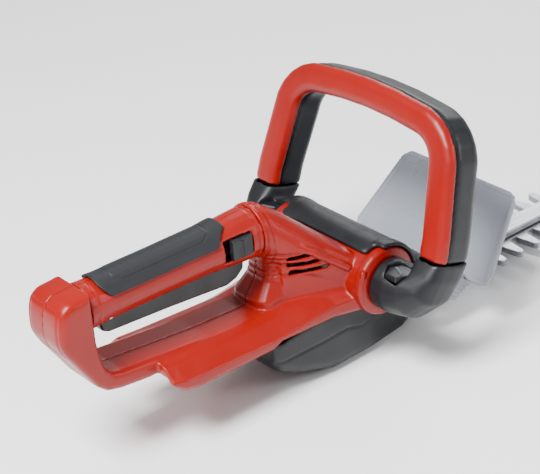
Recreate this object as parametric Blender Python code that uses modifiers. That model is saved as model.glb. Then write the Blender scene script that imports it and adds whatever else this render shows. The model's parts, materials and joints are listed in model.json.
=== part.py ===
"""Cordless hedge trimmer: D-frame body with a turning rear grip, tilting front bail and reciprocating blades.

Metres. +X points along the blade, +Z up, and the object is symmetric about Y = 0. The origin is on the flat
underside of the gearbox cover, straight below the axis on which the front bail tilts.
"""

import math

import bmesh
import bpy
from mathutils import Matrix, Vector

GAP = 0.0003  # between pieces that touch
WALL = 0.0028  # moulded shells

# Front bail and its hubs
PIVOT_Z = 0.070
HUB_FACE_Y = 0.0574
HUB_R = 0.0204
COLLAR_R = 0.0272
BARREL_R = 0.0262
BAIL_LEAN = math.radians(17.0)
LEG_FOOT_Y = 0.0935
LEG_FOOT_S = 0.0293
LEG_TOP_Y = 0.0862
CROSSBAR_S = 0.1246
CROSSBAR_ARCH = 0.0035
CORNER_R = 0.033
HANDLE_DEPTH = 0.0085
HANDLE_THICK = 0.0260
HANDLE_T = 0.0018
SWITCH_TRAVEL = math.radians(1.2)
SWITCH_HINGE_S = 0.0250
SWITCH_PIN_T = 0.0160
SWITCH_DEPTH = 0.0255
HANDLE_WALL = 0.0026
CROSSBAR_SLIMMER = 0.13
PIVOT_SHAFT_R = 0.006
BUTTON_WELL_Z = 0.0788
BUTTON_SPRING = 0.0040

# Rear grip, which turns on the line from the heel to the collar
GRIP_Z = 0.1243
GRIP_REAR_X = -0.2276
GRIP_FRONT_X = -0.0816
GRIP_R = 0.0172
COLLAR_JOINT_R = 0.020
SPIGOT_R = 0.009
TRIGGER_HINGE = (-0.2110, 0.1140)

# Body
BODY_HALF = 0.022
BODY_FLOOR_Z = 0.0500
SKIRT_REAR_X = -0.185
SKIRT_HALF = 0.0415
BAY_FRONT_X = -0.0985
BAY_TOP_Z = 0.0605

# Drive train
GEAR_MODULE = 0.00125
GEAR_TEETH = 44
PINION_TEETH = 9
GEAR_Z = 0.024
GEAR_THICK = 0.007
MOTOR_X = -GEAR_MODULE * (GEAR_TEETH + PINION_TEETH) / 2
MOTOR_R = 0.022
MOTOR_Z = (0.0505, 0.088)
CRANK_THROW = 0.005
CRANK_DISC_R = 0.0070
PLATE_Z = (0.034, 0.038)

# Blades
TOOTH_PITCH = 0.020
TOOTH_COUNT = 27
TEETH_START_X = 0.150
TOOTH_TIP_Y = 0.033
SPINE_HALF = 0.0125
BLADE_THICK = 0.0025
LOWER_BLADE_Z = 0.0112
UPPER_BLADE_Z = LOWER_BLADE_Z + BLADE_THICK + GAP
GUIDE_Z = UPPER_BLADE_Z + BLADE_THICK + GAP
GUIDE_HEIGHT = 0.0055
GUIDE_HALF = 0.0092
BLADE_REAR_X = 0.036
BLADE_PIN_X = 0.045
BOLT_COUNT = 4
BOLT_R = 0.0024

trimmer = bpy.data.collections.new("hedge_trimmer")
helpers = bpy.data.collections.new("cutters")


def clear_scene():
    for obj in list(bpy.data.objects):
        bpy.data.objects.remove(obj, do_unlink=True)
    bpy.context.scene.collection.children.link(trimmer)
    bpy.context.scene.collection.children.link(helpers)


def make_material(name, colour, roughness, metallic=0.0):
    material = bpy.data.materials.new(name)
    material.use_nodes = True
    surface = material.node_tree.nodes["Principled BSDF"]
    surface.inputs["Base Color"].default_value = (*colour, 1.0)
    surface.inputs["Roughness"].default_value = roughness
    surface.inputs["Metallic"].default_value = metallic
    return material


RED = make_material("red_plastic", (0.60, 0.03, 0.02), 0.35)
DARK = make_material("dark_plastic", (0.03, 0.035, 0.045), 0.45)
RUBBER = make_material("grip_rubber", (0.035, 0.038, 0.045), 0.75)
SMOKE = make_material("shield_plastic", (0.45, 0.47, 0.53), 0.3)
STEEL = make_material("blade_steel", (0.62, 0.63, 0.65), 0.3, 1.0)
ALUMINIUM = make_material("aluminium", (0.72, 0.73, 0.75), 0.35, 1.0)
COPPER = make_material("contact_brass", (0.70, 0.50, 0.22), 0.3, 1.0)
BOARD = make_material("circuit_board", (0.02, 0.16, 0.06), 0.5)


# ---------------------------------------------------------------- building blocks


def finish_mesh(name, mesh_data, material, smooth=35.0):
    """Puts a bmesh into the scene as a part, its faces turned outwards."""
    bmesh.ops.recalc_face_normals(mesh_data, faces=mesh_data.faces)
    if mesh_data.calc_volume(signed=True) < 0:
        bmesh.ops.reverse_faces(mesh_data, faces=mesh_data.faces)
    mesh = bpy.data.meshes.new(name)
    mesh_data.to_mesh(mesh)
    mesh_data.free()
    mesh.shade_smooth()
    mesh.set_sharp_from_angle(angle=math.radians(smooth))
    obj = bpy.data.objects.new(name, mesh)
    if material is None:
        helpers.objects.link(obj)
        obj.hide_render = True
        obj.display_type = "WIRE"
    else:
        mesh.materials.append(material)
        trimmer.objects.link(obj)
    return obj


def loft(name, rings, material=None):
    """A closed solid through rings of equally many points, capped at both ends."""
    built = bmesh.new()
    loops = [[built.verts.new(point) for point in ring] for ring in rings]
    for first, second in zip(loops, loops[1:]):
        for i in range(len(first)):
            j = (i + 1) % len(first)
            built.faces.new((first[i], first[j], second[j], second[i]))
    built.faces.new(loops[0][::-1])
    built.faces.new(loops[-1])
    return finish_mesh(name, built, material)


def box(name, low, high, material=None, edge=0.0):
    built = bmesh.new()
    bmesh.ops.create_cube(built, size=1.0)
    low = Vector(low)
    high = Vector(high)
    for vertex in built.verts:
        vertex.co = Vector((low[i] + (vertex.co[i] + 0.5) * (high[i] - low[i]) for i in range(3)))
    if edge:
        bmesh.ops.bevel(built, geom=built.edges[:], offset=edge, segments=1, affect="EDGES")
    return finish_mesh(name, built, material)


def rod(name, start, end, radius, material=None, sides=16, end_radius=None):
    """A cylinder or cone frustum between two points."""
    start = Vector(start)
    end = Vector(end)
    along = end - start
    built = bmesh.new()
    bmesh.ops.create_cone(
        built,
        cap_ends=True,
        segments=sides,
        radius1=radius,
        radius2=radius if end_radius is None else end_radius,
        depth=along.length,
        matrix=Matrix.Translation((start + end) / 2) @ along.to_track_quat("Z", "Y").to_matrix().to_4x4(),
    )
    return finish_mesh(name, built, material)


def turned(name, profile, material, steps=16, place=None):
    """A closed profile of (radius, height) points, its outer side running downwards, turned about Z."""
    mesh = bpy.data.meshes.new(name)
    count = len(profile)
    edges = [(i, (i + 1) % count) for i in range(count)]
    mesh.from_pydata([(radius, 0.0, height) for radius, height in profile], edges, [])
    obj = bpy.data.objects.new(name, mesh)
    trimmer.objects.link(obj)
    mesh.materials.append(material)
    screw = obj.modifiers.new("turn", "SCREW")
    screw.axis = "Z"
    screw.steps = steps
    screw.render_steps = steps
    screw.use_merge_vertices = True
    screw.merge_threshold = 0.00001
    screw.use_smooth_shade = False
    if place is not None:
        obj.matrix_world = place
    return obj


def ring_of(name, inner, outer, low, high, material, place=None, steps=16):
    return turned(name, [(inner, high), (outer, high), (outer, low), (inner, low)], material, steps, place)


def plate(name, outlines, low, high, material=None):
    """A flat plate between two heights from an outline and the holes in it, as a filled 2D curve."""
    curve = bpy.data.curves.new(name, "CURVE")
    curve.dimensions = "2D"
    curve.fill_mode = "BOTH"
    curve.extrude = (high - low) / 2
    for outline in outlines:
        spline = curve.splines.new("POLY")
        spline.points.add(len(outline) - 1)
        for point, (x, y) in zip(spline.points, outline):
            point.co = (x, y, 0.0, 1.0)
        spline.use_cyclic_u = True
    guide = bpy.data.objects.new(name + "_outline", curve)
    guide.location.z = (low + high) / 2
    helpers.objects.link(guide)
    return curve_to_part(name, guide, material)


def curve_to_part(name, guide, material):
    """The mesh of a curve object, its caps welded to its sides, in place of the curve."""
    bpy.context.view_layer.update()
    evaluated = guide.evaluated_get(bpy.context.evaluated_depsgraph_get())
    mesh = bpy.data.meshes.new_from_object(evaluated)
    built = bmesh.new()
    built.from_mesh(mesh)
    bpy.data.meshes.remove(mesh)
    bmesh.ops.remove_doubles(built, verts=built.verts, dist=0.00001)
    built.transform(guide.matrix_world)
    bpy.data.objects.remove(guide)
    return finish_mesh(name, built, material)


def tube(name, points, radius, material, sides=2):
    """A wire or spring through points, as a bevelled curve."""
    curve = bpy.data.curves.new(name, "CURVE")
    curve.dimensions = "3D"
    curve.bevel_depth = radius
    curve.bevel_resolution = sides
    curve.use_fill_caps = True
    spline = curve.splines.new("POLY")
    spline.points.add(len(points) - 1)
    for point, co in zip(spline.points, points):
        point.co = (*co, 1.0)
    guide = bpy.data.objects.new(name + "_path", curve)
    helpers.objects.link(guide)
    return curve_to_part(name, guide, material)


def combine(obj, other, operation):
    """Adds a Boolean with a helper object. The red body's crossing shapes need the Manifold solver."""
    if other.name in trimmer.objects:
        trimmer.objects.unlink(other)
        helpers.objects.link(other)
    other.hide_render = True
    other.display_type = "WIRE"
    modifier = obj.modifiers.new(operation.lower(), "BOOLEAN")
    modifier.operation = operation
    modifier.solver = "MANIFOLD" if obj.name.startswith("body_") else "EXACT"
    modifier.object = other
    return obj


def cut(obj, *cutters):
    for cutter in cutters:
        combine(obj, cutter, "DIFFERENCE")
    return obj


def join(obj, *others):
    for other in others:
        combine(obj, other, "UNION")
    return obj


def baked(obj):
    """Applies the modifiers, so that the result can be copied or cut again."""
    bpy.context.view_layer.update()
    evaluated = obj.evaluated_get(bpy.context.evaluated_depsgraph_get())
    mesh = bpy.data.meshes.new_from_object(evaluated)
    obj.modifiers.clear()
    obj.data = mesh
    return obj


def half_of(whole, name, side, material):
    """The part of a hollow body on one side of Y = 0, as a new object."""
    part = bpy.data.objects.new(name, whole.data)
    trimmer.objects.link(part)
    far = 0.2
    near = GAP / 2
    low_y, high_y = (-far, near) if side > 0 else (-near, far)
    combine(part, box(name + "_trim", (-0.5, low_y, -0.1), (0.5, high_y, 0.4)), "DIFFERENCE")
    part.data.materials.clear()
    part.data.materials.append(material)
    return part


def superellipse(half_a, half_b, power=2.0, count=24):
    points = []
    for i in range(count):
        angle = 2 * math.pi * i / count
        cosine = math.cos(angle)
        sine = math.sin(angle)
        points.append(
            (
                math.copysign(half_a * abs(cosine) ** (2 / power), cosine),
                math.copysign(half_b * abs(sine) ** (2 / power), sine),
            )
        )
    return points


def section_x(x, centre_z, half_y, half_z, power=2.0, count=24):
    """A rounded section across the X axis."""
    return [(x, y, centre_z + z) for y, z in superellipse(half_y, half_z, power, count)]


def section_z(z, centre_x, half_x, half_y, power=2.0, count=16):
    """A rounded section across the Z axis."""
    return [(centre_x + x, y, z) for x, y in superellipse(half_x, half_y, power, count)]


def inset(outline, distance):
    """The outline, which runs anticlockwise, moved inwards by a distance."""
    moved = []
    count = len(outline)
    for i in range(count):
        before = Vector(outline[i - 1])
        here = Vector(outline[i])
        after = Vector(outline[(i + 1) % count])
        first = (here - before).normalized()
        second = (after - here).normalized()
        normal = Vector((-first.y - second.y, first.x + second.x))
        scale = distance / max(0.3, (normal.length_squared / 2))
        moved.append(tuple(here + normal * scale))
    return moved


def slab(name, outline, half_width, edge, material=None, low_y=None):
    """A side outline of (x, z) points given width along Y, with its two rims rounded."""
    start = -half_width if low_y is None else low_y
    steps = [(0.0, edge), (0.3 * edge, 0.3 * edge), (edge, 0.0)]
    rings = []
    for depth, shrink in steps:
        rings.append([(x, start + depth, z) for x, z in inset(outline, shrink)])
    for depth, shrink in reversed(steps):
        rings.append([(x, half_width - depth, z) for x, z in inset(outline, shrink)])
    return loft(name, rings, material)


def arc(centre, radius, start, end, count):
    """Points on an arc, angles in degrees from the first axis towards the second."""
    points = []
    for i in range(count + 1):
        angle = math.radians(start + (end - start) * i / count)
        points.append((centre[0] + radius * math.cos(angle), centre[1] + radius * math.sin(angle)))
    return points


def gear_outline(teeth, phase=0.0):
    """Straight-flanked teeth, slimmer than the spaces, so that a pair runs with backlash."""
    pitch_r = GEAR_MODULE * teeth / 2
    levels = [(-0.29, -1.15), (-0.11, 0.85), (0.11, 0.85), (0.29, -1.15)]
    outline = []
    for i in range(teeth):
        for offset, height in levels:
            angle = 2 * math.pi * (i + phase + offset) / teeth
            radius = pitch_r + height * GEAR_MODULE
            outline.append((radius * math.cos(angle), radius * math.sin(angle)))
    return outline


def circle(centre, radius, count=16):
    return arc(centre, radius, 0.0, 360.0 * (count - 1) / count, count - 1)


def slot(centre_x, half_length, radius, count=6):
    """A hole with round ends along X."""
    left = arc((centre_x - half_length, 0.0), radius, 90.0, 270.0, count)
    right = arc((centre_x + half_length, 0.0), radius, -90.0, 90.0, count)
    return left + right


# ---------------------------------------------------------------- red body


FRAME_SIDE = [
    (-0.2290, 0.1060), (-0.2275, 0.0930), (-0.2245, 0.0830), (-0.2195, 0.0772), (-0.2120, 0.0752),
    (-0.0990, 0.0640), (-0.0990, 0.0480), (-0.1580, 0.0480), (-0.1720, 0.0570), (-0.2150,
        0.0617), (-0.2260, 0.0645),
    (-0.2335, 0.0710), (-0.2450, 0.0900), (-0.2540, 0.1045), (-0.2572, 0.1130), (-0.2565, 0.1270),
    (-0.2540, 0.1365), (-0.2470, 0.1420), (-0.2290, 0.1425),
][::-1]
FRAME_HOLLOW = [
    (-0.2325, 0.1050), (-0.2305, 0.0900), (-0.2270, 0.0800), (-0.2210, 0.0742), (-0.2130, 0.0722),
    (-0.1850, 0.0690), (-0.1850, 0.0640), (-0.2150, 0.0660), (-0.2250, 0.0685), (-0.2310, 0.0740),
    (-0.2425, 0.0930), (-0.2505, 0.1060), (-0.2540, 0.1150), (-0.2535, 0.1260), (-0.2510, 0.1335),
    (-0.2460, 0.1385), (-0.2325, 0.1390),
][::-1]


def skirt_ring(x, top, low, half):
    """Half-octagon section over the battery bay and along the foot of the motor housing."""
    right = [(0.0190, top), (0.0290, top - 0.0025), (half, top - 0.011), (half, low + 0.004),
        (half - 0.003, low)]
    side = [(x, y, z) for y, z in right]
    return side + [(px, -py, pz) for px, py, pz in reversed(side)]


def housing_rings(shrink):
    """Fan-shaped motor housing, from the round grip collar to the wide hub barrel."""
    stations = [
        (-0.0805, 0.1243, 0.0200, 0.0200, 2.0),
        (-0.0720, 0.1185, 0.0222, 0.0248, 2.0),
        (-0.0560, 0.1010, 0.0285, 0.0308, 2.1),
        (-0.0360, 0.0865, 0.0350, 0.0278, 2.3),
        (-0.0200, 0.0775, 0.0430, 0.0222, 2.9),
        (-0.0150, 0.0740, 0.0465, 0.0222, 3.5),
        (-0.0144, 0.0690, 0.0470, 0.0215, 3.5),
        (0.0080, 0.0680, 0.0540, 0.0220, 3.6),
    ]
    rings = []
    for x, centre_z, half_y, half_z, power in stations:
        ring = section_x(x, centre_z, half_y - shrink, half_z - shrink, power)
        lowest = BODY_FLOOR_Z + 0.0015 + shrink
        rings.append([(px, py, max(pz, lowest)) for px, py, pz in ring])
    return rings


def neck_rings(shrink):
    """Column between the grip collar and the beam, with one groove and a flared foot."""
    stations = [
        (0.1120, -0.0600, 0.0170, 0.0165, 2.6),
        (0.0960, -0.0610, 0.0165, 0.0165, 2.6),
        (0.0935, -0.0612, 0.0153, 0.0153, 2.6),
        (0.0910, -0.0615, 0.0168, 0.0168, 2.6),
        (0.0845, -0.0622, 0.0172, 0.0172, 2.8),
        (0.0720, -0.0668, 0.0222, 0.0212, 4.0),
        (0.0620, -0.0675, 0.0225, 0.0215, 4.0),
        (0.0560, -0.0675, 0.0225, 0.0215, 4.0),
    ]
    rings = []
    for z, x, half_x, half_y, power in stations:
        rings.append(section_z(z, x, half_x - shrink, half_y - shrink, power))
    return rings


def fairing_rings(shrink, low):
    """Side walls under the motor housing, upright to a crease and then flared on to the skirt."""
    stations = [
        (-0.0690, 0.0205, 0.0235, 0.1000),
        (-0.0460, 0.0300, 0.0345, 0.0920),
        (-0.0200, 0.0415, 0.0445, 0.0800),
        (-0.0020, 0.0500, 0.0525, 0.0740),
    ]
    rings = []
    for x, wall_y, foot_y, top in stations:
        right = [(wall_y - 0.0010, top), (wall_y, 0.0700), (foot_y, 0.0630), (foot_y, low)]
        side = [(x, y - shrink, z) for y, z in right]
        rings.append(side + [(px, -py, pz) for px, py, pz in reversed(side)])
    rings[0] = [(x + shrink, y, z) for x, y, z in rings[0]]
    return rings


def make_body():
    """The two halves of the red clamshell: heel, beam, battery skirt, neck, motor housing and hub barrel."""
    whole = slab("body_whole", FRAME_SIDE, BODY_HALF, 0.0045, RED)
    skirt = [
        skirt_ring(-0.1850, 0.0705, 0.0545, 0.0385),
        skirt_ring(-0.1760, 0.0700, 0.0495, SKIRT_HALF),
        skirt_ring(-0.1640, 0.0690, 0.0470, SKIRT_HALF),
        skirt_ring(-0.0960, 0.0660, 0.0465, SKIRT_HALF),
        skirt_ring(-0.0880, 0.0665, BODY_FLOOR_Z, SKIRT_HALF),
        skirt_ring(-0.0400, 0.0720, BODY_FLOOR_Z, 0.0440),
        skirt_ring(-0.0080, 0.0760, BODY_FLOOR_Z, 0.0540),
        skirt_ring(0.0120, 0.0760, BODY_FLOOR_Z, 0.0540),
    ]
    join(whole, loft("body_skirt", skirt), loft("body_neck", neck_rings(0.0)))
    join(whole, loft("body_housing", housing_rings(0.0)), loft("body_fairing", fairing_rings(0.0, 0.0560)))
    collar = rod("body_joint_ring", (-0.0813, 0, GRIP_Z), (-0.0765, 0, GRIP_Z), 0.0208, sides=24)
    barrel = rod("body_barrel", (0, -0.0565, PIVOT_Z), (0, 0.0565, PIVOT_Z), BARREL_R, sides=28)
    join(whole, collar, barrel)
    for side in (-1, 1):
        ends = (0, side * 0.0500, PIVOT_Z), (0, side * 0.0545, PIVOT_Z)
        rim = (0, side * 0.0542, PIVOT_Z), (0, side * HUB_FACE_Y, PIVOT_Z)
        join(whole, rod("body_hub_collar", *ends, COLLAR_R, sides=28))
        join(whole, rod("body_hub_rim", *rim, COLLAR_R - 0.0003, sides=28, end_radius=COLLAR_R - 0.0048))
    cut(whole, slab("body_frame_hollow", FRAME_HOLLOW, BODY_HALF - WALL, 0.002))
    inner = housing_rings(WALL)
    del inner[5]
    inner[0] = section_x(-0.0780, 0.1225, 0.0170, 0.0170)
    cut(whole, loft("body_housing_hollow", inner), loft("body_fairing_hollow", fairing_rings(WALL, 0.0510)))
    neck_hollow = neck_rings(WALL)[1:]
    neck_hollow[-1] = [(x, y, 0.0400) for x, y, z in neck_hollow[-1]]
    cut(whole, loft("body_neck_hollow", neck_hollow))
    cut(whole, rod("body_barrel_hollow", (0, -0.0540, PIVOT_Z), (0, 0.0540, PIVOT_Z), 0.0238, sides=28))
    foot = [
        skirt_ring(-0.0900, 0.0635, 0.0300, 0.0370),
        skirt_ring(-0.0400, 0.0690, 0.0300, 0.0385),
        skirt_ring(0.0260, 0.0730, 0.0300, 0.0385),
    ]
    cut(whole, loft("body_floor_opening", foot))
    cut(whole, box("body_front_opening", (0.0040, -0.0480, 0.0300), (0.0400, 0.0480, 0.0925)))
    bay_rear = SKIRT_REAR_X - 0.005
    cut(whole, box("battery_channel", (bay_rear, -0.0330, 0.0300), (BAY_FRONT_X, 0.0330, BAY_TOP_Z)))
    cut(whole, box("battery_groove", (bay_rear, -0.0370, 0.0510), (BAY_FRONT_X, 0.0370, 0.0575)))
    cut(whole, rod("shaft_hole", (0, -0.07, PIVOT_Z), (0, 0.07, PIVOT_Z), 0.0103, sides=20))
    cut(whole, rod("front_spigot_hole", (-0.09, 0, GRIP_Z), (-0.07, 0, GRIP_Z), 0.0123, sides=20))
    cut(whole, rod("rear_spigot_hole", (-0.2350, 0, GRIP_Z), (-0.2200, 0, GRIP_Z), SPIGOT_R + GAP, sides=16))
    for side in (-1, 1):
        for row in range(3):
            rear = -0.0655 + 0.0008 * row
            length = 0.0170 + 0.0055 * row
            height = 0.1025 - 0.0064 * row
            low = (rear, min(side * 0.018, side * 0.070), height - 0.0015)
            high = (rear + length, max(side * 0.018, side * 0.070), height + 0.0015)
            cut(whole, box(f"vent_{row}", low, high))
    baked(whole)
    halves = [half_of(whole, "body_left", 1, RED), half_of(whole, "body_right", -1, RED)]
    bpy.data.objects.remove(whole)
    screws = [(-0.2435, 0.1180, 0.0205), (-0.2330, 0.0830, 0.0205), (-0.0680, 0.0850, 0.0165)]
    for number, (x, z, reach) in enumerate(screws, 1):
        screw_together(halves, f"body_screw_{number}", x, z, reach)


def screw_together(halves, name, x, z, reach):
    """Bosses in both halves of a clamshell, out to a distance from the middle, and the screw between them."""
    for half, side in zip(halves, (1, -1)):
        join(half, rod("screw_boss", (x, side * GAP / 2, z), (x, side * reach, z), 0.0042, sides=12))
    cut(halves[0], rod("screw_path", (x, -0.01, z), (x, 0.03, z), 0.0019, sides=10))
    cut(halves[0], rod("screw_well", (x, reach - 0.0070, z), (x, 0.03, z), 0.0036, sides=12))
    cut(halves[1], rod("screw_pilot", (x, -0.65 * reach, z), (x, 0.01, z), 0.0019, sides=10))
    top = reach - 0.0045
    low = top - 0.0022
    tip = -0.6 * reach
    profile = [(0.0, top), (0.0032, top), (0.0032, low), (0.0015, low), (0.0015, tip), (0.0, tip)]
    turn = Matrix.Translation((x, 0, z)) @ Matrix.Rotation(math.radians(-90), 4, "X")
    turned(name, profile, STEEL, 10, turn)


def make_spigots():
    """Bearing sleeves on which the rear grip turns, one in the heel and one in the collar."""
    along_x = Matrix.Translation((0, 0, GRIP_Z)) @ Matrix.Rotation(math.radians(90), 4, "Y")
    rear = [(0.0060, -0.2190), (SPIGOT_R, -0.2190), (SPIGOT_R, -0.2330), (0.0110, -0.2330)]
    turned("rear_spigot", rear + [(0.0110, -0.2360), (0.0060, -0.2360)], DARK, 16, along_x)
    front = [(0.0090, -0.0745), (0.0132, -0.0745), (0.0132, -0.0770), (0.0120, -0.0770)]
    turned("front_spigot", front + [(0.0120, -0.0900), (0.0090, -0.0900)], DARK, 16, along_x)


# ---------------------------------------------------------------- dark covers and shield


def make_front_cover():
    """Dark shell over the hub barrel and down to the nose of the gearbox."""
    band = arc((0.0, PIVOT_Z), 0.0300, 20, 118, 9)
    foot_z = BODY_FLOOR_Z + GAP
    whole = slab("cover_front", band + [(-0.0060, 0.0800), (0.0100, 0.0560)], 0.0496, 0.0040, DARK)
    for low_y, high_y in ((0.0455, 0.0573), (-0.0573, -0.0455)):
        ear = arc((0.0, PIVOT_Z), 0.0308, -30, 96, 10) + [(0.0, PIVOT_Z)]
        join(whole, slab("cover_ear", ear, high_y, 0.0016, low_y=low_y))
    nose = []
    for x, top, half in ((0.0090, 0.0965, 0.0480), (0.0280, 0.0850, 0.0470), (0.0440, 0.0725, 0.0445),
                         (0.0560, 0.0620, 0.0400), (0.0640, 0.0560, 0.0330)):
        ring = section_x(x, foot_z, half, top - foot_z, 3.2, 24)
        nose.append([(px, py, max(pz, foot_z - 0.004)) for px, py, pz in ring])
    join(whole, loft("cover_nose", nose))
    cut(whole, box("cover_base", (-0.05, -0.06, 0.02), (0.09, 0.06, foot_z)))
    hollow = []
    for x, top, half in ((-0.0200, 0.0930, 0.0455), (0.0250, 0.0825, 0.0445), (0.0410, 0.0700, 0.0420),
                         (0.0530, 0.0595, 0.0370), (0.0612, 0.0540, 0.0300)):
        ring = section_x(x, foot_z, half, top - foot_z, 3.2, 24)
        hollow.append([(px, py, max(pz, 0.0530)) for px, py, pz in ring])
    cut(whole, loft("cover_hollow", hollow))
    cut(whole, box("cover_floor", (-0.0200, -0.0300, 0.0300), (0.0560, 0.0300, 0.0545)))
    cut(whole, rod("cover_seat", (0, -0.06, PIVOT_Z), (0, 0.06, PIVOT_Z), BARREL_R + 0.0004, sides=28))
    for side in (-1, 1):
        seat = (0, side * 0.0496, PIVOT_Z), (0, side * 0.0620, PIVOT_Z)
        cut(whole, rod("cover_collar_seat", *seat, COLLAR_R + 0.0004, sides=28))


def belly_ring(x, low, top, half):
    """Tub section: flat underside, small chamfers and upright sides."""
    right = [(half, top), (half, low + 0.0100), (half - 0.0030, low + 0.0035), (half - 0.0100, low)]
    side = [(x, y, z) for y, z in right]
    return side + [(px, -py, pz) for px, py, pz in reversed(side)]


def belly_rings(shrink, top):
    stations = [
        (-0.0940, 0.0280, 0.0360), (-0.0880, 0.0190, 0.0372), (-0.0700, 0.0100, 0.0383), (-0.0450, 0.0020,
            0.0388),
        (-0.0380, 0.0000, 0.0388), (0.0000, 0.0000, 0.0380), (0.0380, 0.0000, 0.0330), (0.0520, 0.0030,
            0.0285),
        (0.0620, 0.0050, 0.0245),
    ]
    rings = []
    for x, low, half in stations:
        shift = shrink if x < -0.09 else -shrink if x > 0.06 else 0.0
        rim = top if x > -0.08 else top - 0.0032
        rings.append(belly_ring(x + shift, low + shrink, rim, half - shrink))
    return rings


def make_gearbox_cover():
    """Dark tub under the gears, whose flat underside is the foot."""
    top = BODY_FLOOR_Z - GAP
    whole = loft("cover_gearbox", belly_rings(0.0, top), DARK)
    cut(whole, loft("gearbox_hollow", belly_rings(WALL, 0.06)))
    seat = rod("bearing_boss", (0, 0, 0.0010), (0, 0, 0.0078), 0.0108, sides=16)
    join(whole, seat)
    cut(whole, rod("bearing_bore", (0, 0, 0.0031), (0, 0, 0.0300), 0.0084, sides=20))
    cut(whole, box("blade_mouth", (0.0500, -0.0140, 0.0100), (0.0700, 0.0140, 0.0240)))


def make_shield():
    """Hand guard leaning towards the blade, and the ribbed bracket that holds it."""
    foot = Vector((0.0846, 0.0, 0.0348))
    lean = math.atan2(0.0502, 0.0570)
    height = 0.0760
    low_half = 0.0750
    top_half = 0.0620
    right = arc((low_half - 0.0080, 0.0080), 0.0080, -90.0, 8.0, 6)
    right += arc((top_half - 0.0110, height - 0.0120), 0.0120, 8.0, 90.0, 7)
    outline = right + [(-x, y) for x, y in reversed(right)]
    guard = plate("shield", [outline], -0.0012, 0.0012, SMOKE)
    upright = Matrix(((0, 0, 1), (1, 0, 0), (0, 1, 0))).to_4x4()
    tilt = Matrix.Rotation(lean, 4, "Y")
    guard.data.transform(Matrix.Translation(foot) @ tilt @ upright)
    bracket = box("shield_bracket", (0.0632, -0.0470, 0.0262), (0.0900, 0.0470, 0.0290), SMOKE)
    join(bracket, box("bracket_riser", (0.0800, -0.0460, 0.0275), (0.0826, 0.0460, 0.0325)))
    wing = [(0.0440, 0.0360), (0.0520, 0.0250), (0.0720, 0.0225), (0.0860, 0.0300), (0.0790, 0.0455),
        (0.0600, 0.0475)]
    for low_y, high_y in ((0.0440, 0.0560), (-0.0560, -0.0440)):
        join(bracket, slab("bracket_wing", wing, high_y, 0.0020, low_y=low_y))


# ---------------------------------------------------------------- drive


def make_drive():
    motor_hole = circle((MOTOR_X, 0.0), 0.0075)
    bearing_hole = circle((0.0, 0.0), 0.0083, 20)
    edge = [(-0.0580, -0.0270), (-0.0500, -0.0335), (0.0050, -0.0335), (0.0380, -0.0275), (0.0500, -0.0230)]
    edge += [(x, -y) for x, y in reversed(edge)]
    plate("gear_plate", [edge, motor_hole, bearing_hole], *PLATE_Z, ALUMINIUM)
    ring_of("upper_bearing", 0.0043, 0.0080, 0.0341, 0.0379, STEEL)
    ring_of("lower_bearing", 0.0043, 0.0080, 0.0033, 0.0077, STEEL)
    low, high = MOTOR_Z
    can = [(0.0040, high), (MOTOR_R, high), (MOTOR_R, low), (0.0040, low), (0.0040, low + 0.002)]
    can += [(MOTOR_R - 0.0024, low + 0.002), (MOTOR_R - 0.0024, high - 0.002), (0.0040, high - 0.002)]
    at_motor = Matrix.Translation((MOTOR_X, 0, 0))
    turned("motor_can", can, STEEL, 20, at_motor)
    shaft = [(0.0, high + 0.0025), (0.0024, high + 0.0025), (0.0024, high - 0.005), (0.0140, high - 0.005)]
    shaft += [(0.0140, low + 0.005), (0.0024, low + 0.005), (0.0024, 0.0225), (0.0, 0.0225)]
    turned("rotor", shaft, STEEL, 16, at_motor)
    teeth = gear_outline(PINION_TEETH, phase=0.5)
    pinion = plate("motor_pinion", [teeth, circle((0, 0), 0.0027, 12)], GEAR_Z, GEAR_Z + GEAR_THICK, STEEL)
    pinion.location.x = MOTOR_X
    blades = []
    for i in range(9):
        for offset, radius in ((-0.5, 0.0065), (-0.15, 0.0180), (0.12, 0.0180), (0.10, 0.0065)):
            angle = 2 * math.pi * (i + offset) / 9
            blades.append((radius * math.cos(angle), radius * math.sin(angle)))
    fan = plate("cooling_fan", [blades, circle((0, 0), 0.0027, 12)], 0.0410, 0.0475, DARK)
    fan.location.x = MOTOR_X
    gear = [gear_outline(GEAR_TEETH, phase=0.0), circle((0, 0), 0.0043, 16)]
    plate("drive_gear", gear, GEAR_Z, GEAR_Z + GEAR_THICK, STEEL)
    crank = rod("crankshaft", (0, 0, 0.0042), (0, 0, 0.0435), 0.0040, STEEL, 16)
    for side, low in ((1, UPPER_BLADE_Z + BLADE_THICK), (-1, LOWER_BLADE_Z - 0.0029)):
        centre_y = side * CRANK_THROW
        disc = rod("crank_disc", (0, centre_y, low + 0.0001), (0, centre_y, low + 0.0028), CRANK_DISC_R,
            sides=18)
        join(crank, disc)


def comb_outline():
    """Half of the blade's edge from rear to tip along +Y: tail, spine and rounded teeth."""
    edge = [(BLADE_REAR_X, 0.0045), (BLADE_REAR_X + 0.004, 0.0085), (0.0640, 0.0090), (0.0720, SPINE_HALF)]
    for i in range(TOOTH_COUNT):
        x = TEETH_START_X + i * TOOTH_PITCH
        for dx, y in ((-0.0056, SPINE_HALF), (-0.0030, TOOTH_TIP_Y - 0.0025), (-0.0013, TOOTH_TIP_Y)):
            edge.append((x + dx, y))
        for dx, y in ((0.0013, TOOTH_TIP_Y), (0.0030, TOOTH_TIP_Y - 0.0025), (0.0056, SPINE_HALF)):
            edge.append((x + dx, y))
    end = TEETH_START_X + TOOTH_COUNT * TOOTH_PITCH
    edge += [(end - 0.004, SPINE_HALF), (end, SPINE_HALF - 0.004)]
    return edge


def bolt_stations():
    first = 0.0960
    last = 0.6600
    return [first + (last - first) * i / (BOLT_COUNT - 1) for i in range(BOLT_COUNT)]


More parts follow.
